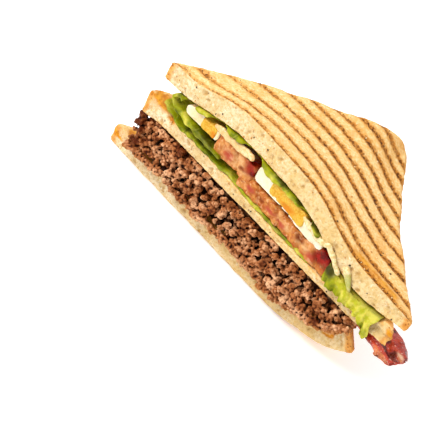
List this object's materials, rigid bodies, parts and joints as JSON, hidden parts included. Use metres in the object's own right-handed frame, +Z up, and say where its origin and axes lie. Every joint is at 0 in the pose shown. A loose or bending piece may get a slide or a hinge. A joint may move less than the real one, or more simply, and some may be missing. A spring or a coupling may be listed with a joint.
{
  "type": "ground beef club sandwich half",
  "caption": "Triangular half of a toasted club sandwich with ground beef, lettuce, egg, tomato and bacon, lying flat with its filled cut face open to view.",
  "frame": {"origin": "under the middle of the box round the sandwich, on the surface that it lies on", "axes": "+X along the cut towards the end where the bacon sticks out, +Y from the cut face towards the bread's square corner, +Z up"},
  "size_m": [0.1616, 0.0838, 0.0603],
  "materials": {
    "toast": "dry, finely pored toasted bread with brown grill stripes",
    "cooked_beef": "moist crumbly fried beef",
    "lettuce": "thin veined leaf with a soft sheen",
    "tomato": "wet flesh with a smooth dark red skin",
    "egg_white": "smooth boiled egg white, satin",
    "egg_yolk": "crumbly boiled yolk, matt",
    "bacon": "fried, glossy with fat"
  },
  "bodies": {
    "root": {"bread_bottom": "toast", "bread_middle": "toast", "bread_top": "toast", "ground_beef": "cooked_beef", "lettuce_lower": "lettuce", "lettuce_fold": "lettuce", "lettuce_right": "lettuce", "lettuce_upper": "lettuce", "tomato_left": "tomato", "tomato_right": "tomato", "egg_white_left": "egg_white", "egg_white_right": "egg_white", "egg_yolk_left": "egg_yolk", "egg_yolk_right": "egg_yolk", "bacon": "bacon"}
  },
  "joints": []
}
